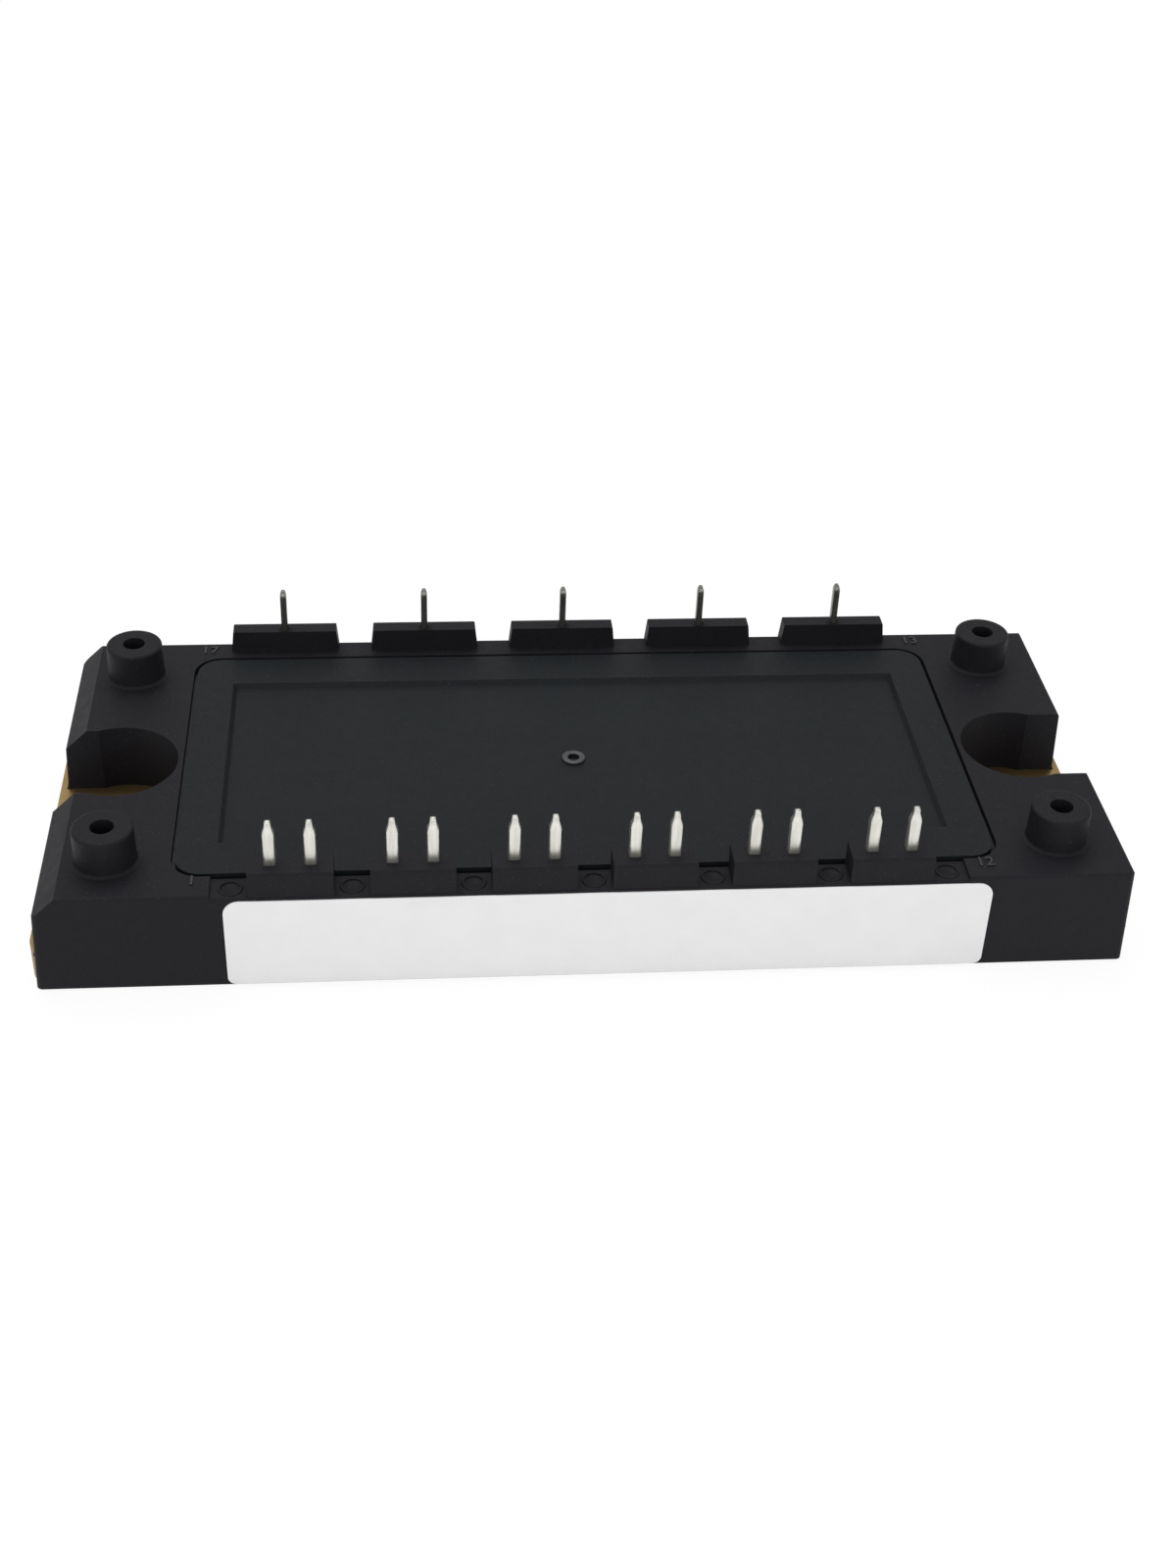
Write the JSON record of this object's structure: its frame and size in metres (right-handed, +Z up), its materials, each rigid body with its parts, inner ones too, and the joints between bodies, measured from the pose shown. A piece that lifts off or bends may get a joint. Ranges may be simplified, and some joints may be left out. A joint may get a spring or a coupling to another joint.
{
  "type": "igbt module",
  "caption": "Flat power semiconductor module: copper base plate, black moulded case with glued lid, solder pins along both long edges, screw slots at the ends.",
  "frame": {"origin": "middle of the base plate's underside, halfway between the two mounting screws", "axes": "+X along the module, +Z up out of the lid along the pins, -Y towards the edge with the control pins and the label"},
  "size_m": [0.1076, 0.0451, 0.0182],
  "materials": {
    "copper_plate": "bare copper, slightly dulled",
    "adhesive": "dark cured silicone",
    "moulded_case": "fine matt moulded, glass filled",
    "moulded_lid": "fine matt moulded",
    "blank_label": "matt white film",
    "silicone_gel": "clear soft gel",
    "control_pin_plating": "tinned copper, satin",
    "power_pin_plating": "tinned copper, satin",
    "solder": "dull solder",
    "bonded_copper": "bare copper",
    "ceramic_sheet": "fine matt ceramic",
    "chip": "metallised silicon",
    "bond_wire": "bare aluminium"
  },
  "bodies": {
    "root": {"base_plate": "copper_plate", "base_adhesive": "adhesive", "case_frame": "moulded_case", "lid_adhesive": "adhesive", "lid": "moulded_lid", "front_label": "blank_label", "gel_fill": "silicone_gel", "control_pin_1": "control_pin_plating", "control_pin_2": "control_pin_plating", "control_pin_3": "control_pin_plating", "control_pin_4": "control_pin_plating", "control_pin_5": "control_pin_plating", "control_pin_6": "control_pin_plating", "control_pin_7": "control_pin_plating", "control_pin_8": "control_pin_plating", "control_pin_9": "control_pin_plating", "control_pin_10": "control_pin_plating", "control_pin_11": "control_pin_plating", "control_pin_12": "control_pin_plating", "power_pin_1": "power_pin_plating", "power_pin_2": "power_pin_plating", "power_pin_3": "power_pin_plating", "power_pin_4": "power_pin_plating", "power_pin_5": "power_pin_plating", "solder_layer_1": "solder", "solder_layer_2": "solder", "solder_layer_3": "solder", "back_copper_1": "bonded_copper", "back_copper_2": "bonded_copper", "back_copper_3": "bonded_copper", "ceramic_1": "ceramic_sheet", "ceramic_2": "ceramic_sheet", "ceramic_3": "ceramic_sheet", "copper_pattern_1": "bonded_copper", "copper_pattern_2": "bonded_copper", "copper_pattern_3": "bonded_copper", "switch_chip_1": "chip", "switch_chip_2": "chip", "switch_chip_3": "chip", "switch_chip_4": "chip", "switch_chip_5": "chip", "switch_chip_6": "chip", "diode_chip_1": "chip", "diode_chip_2": "chip", "diode_chip_3": "chip", "diode_chip_4": "chip", "diode_chip_5": "chip", "diode_chip_6": "chip", "bond_wires_1": "bond_wire", "bond_wires_2": "bond_wire", "bond_wires_3": "bond_wire", "bus_wires": "bond_wire"}
  },
  "joints": []
}
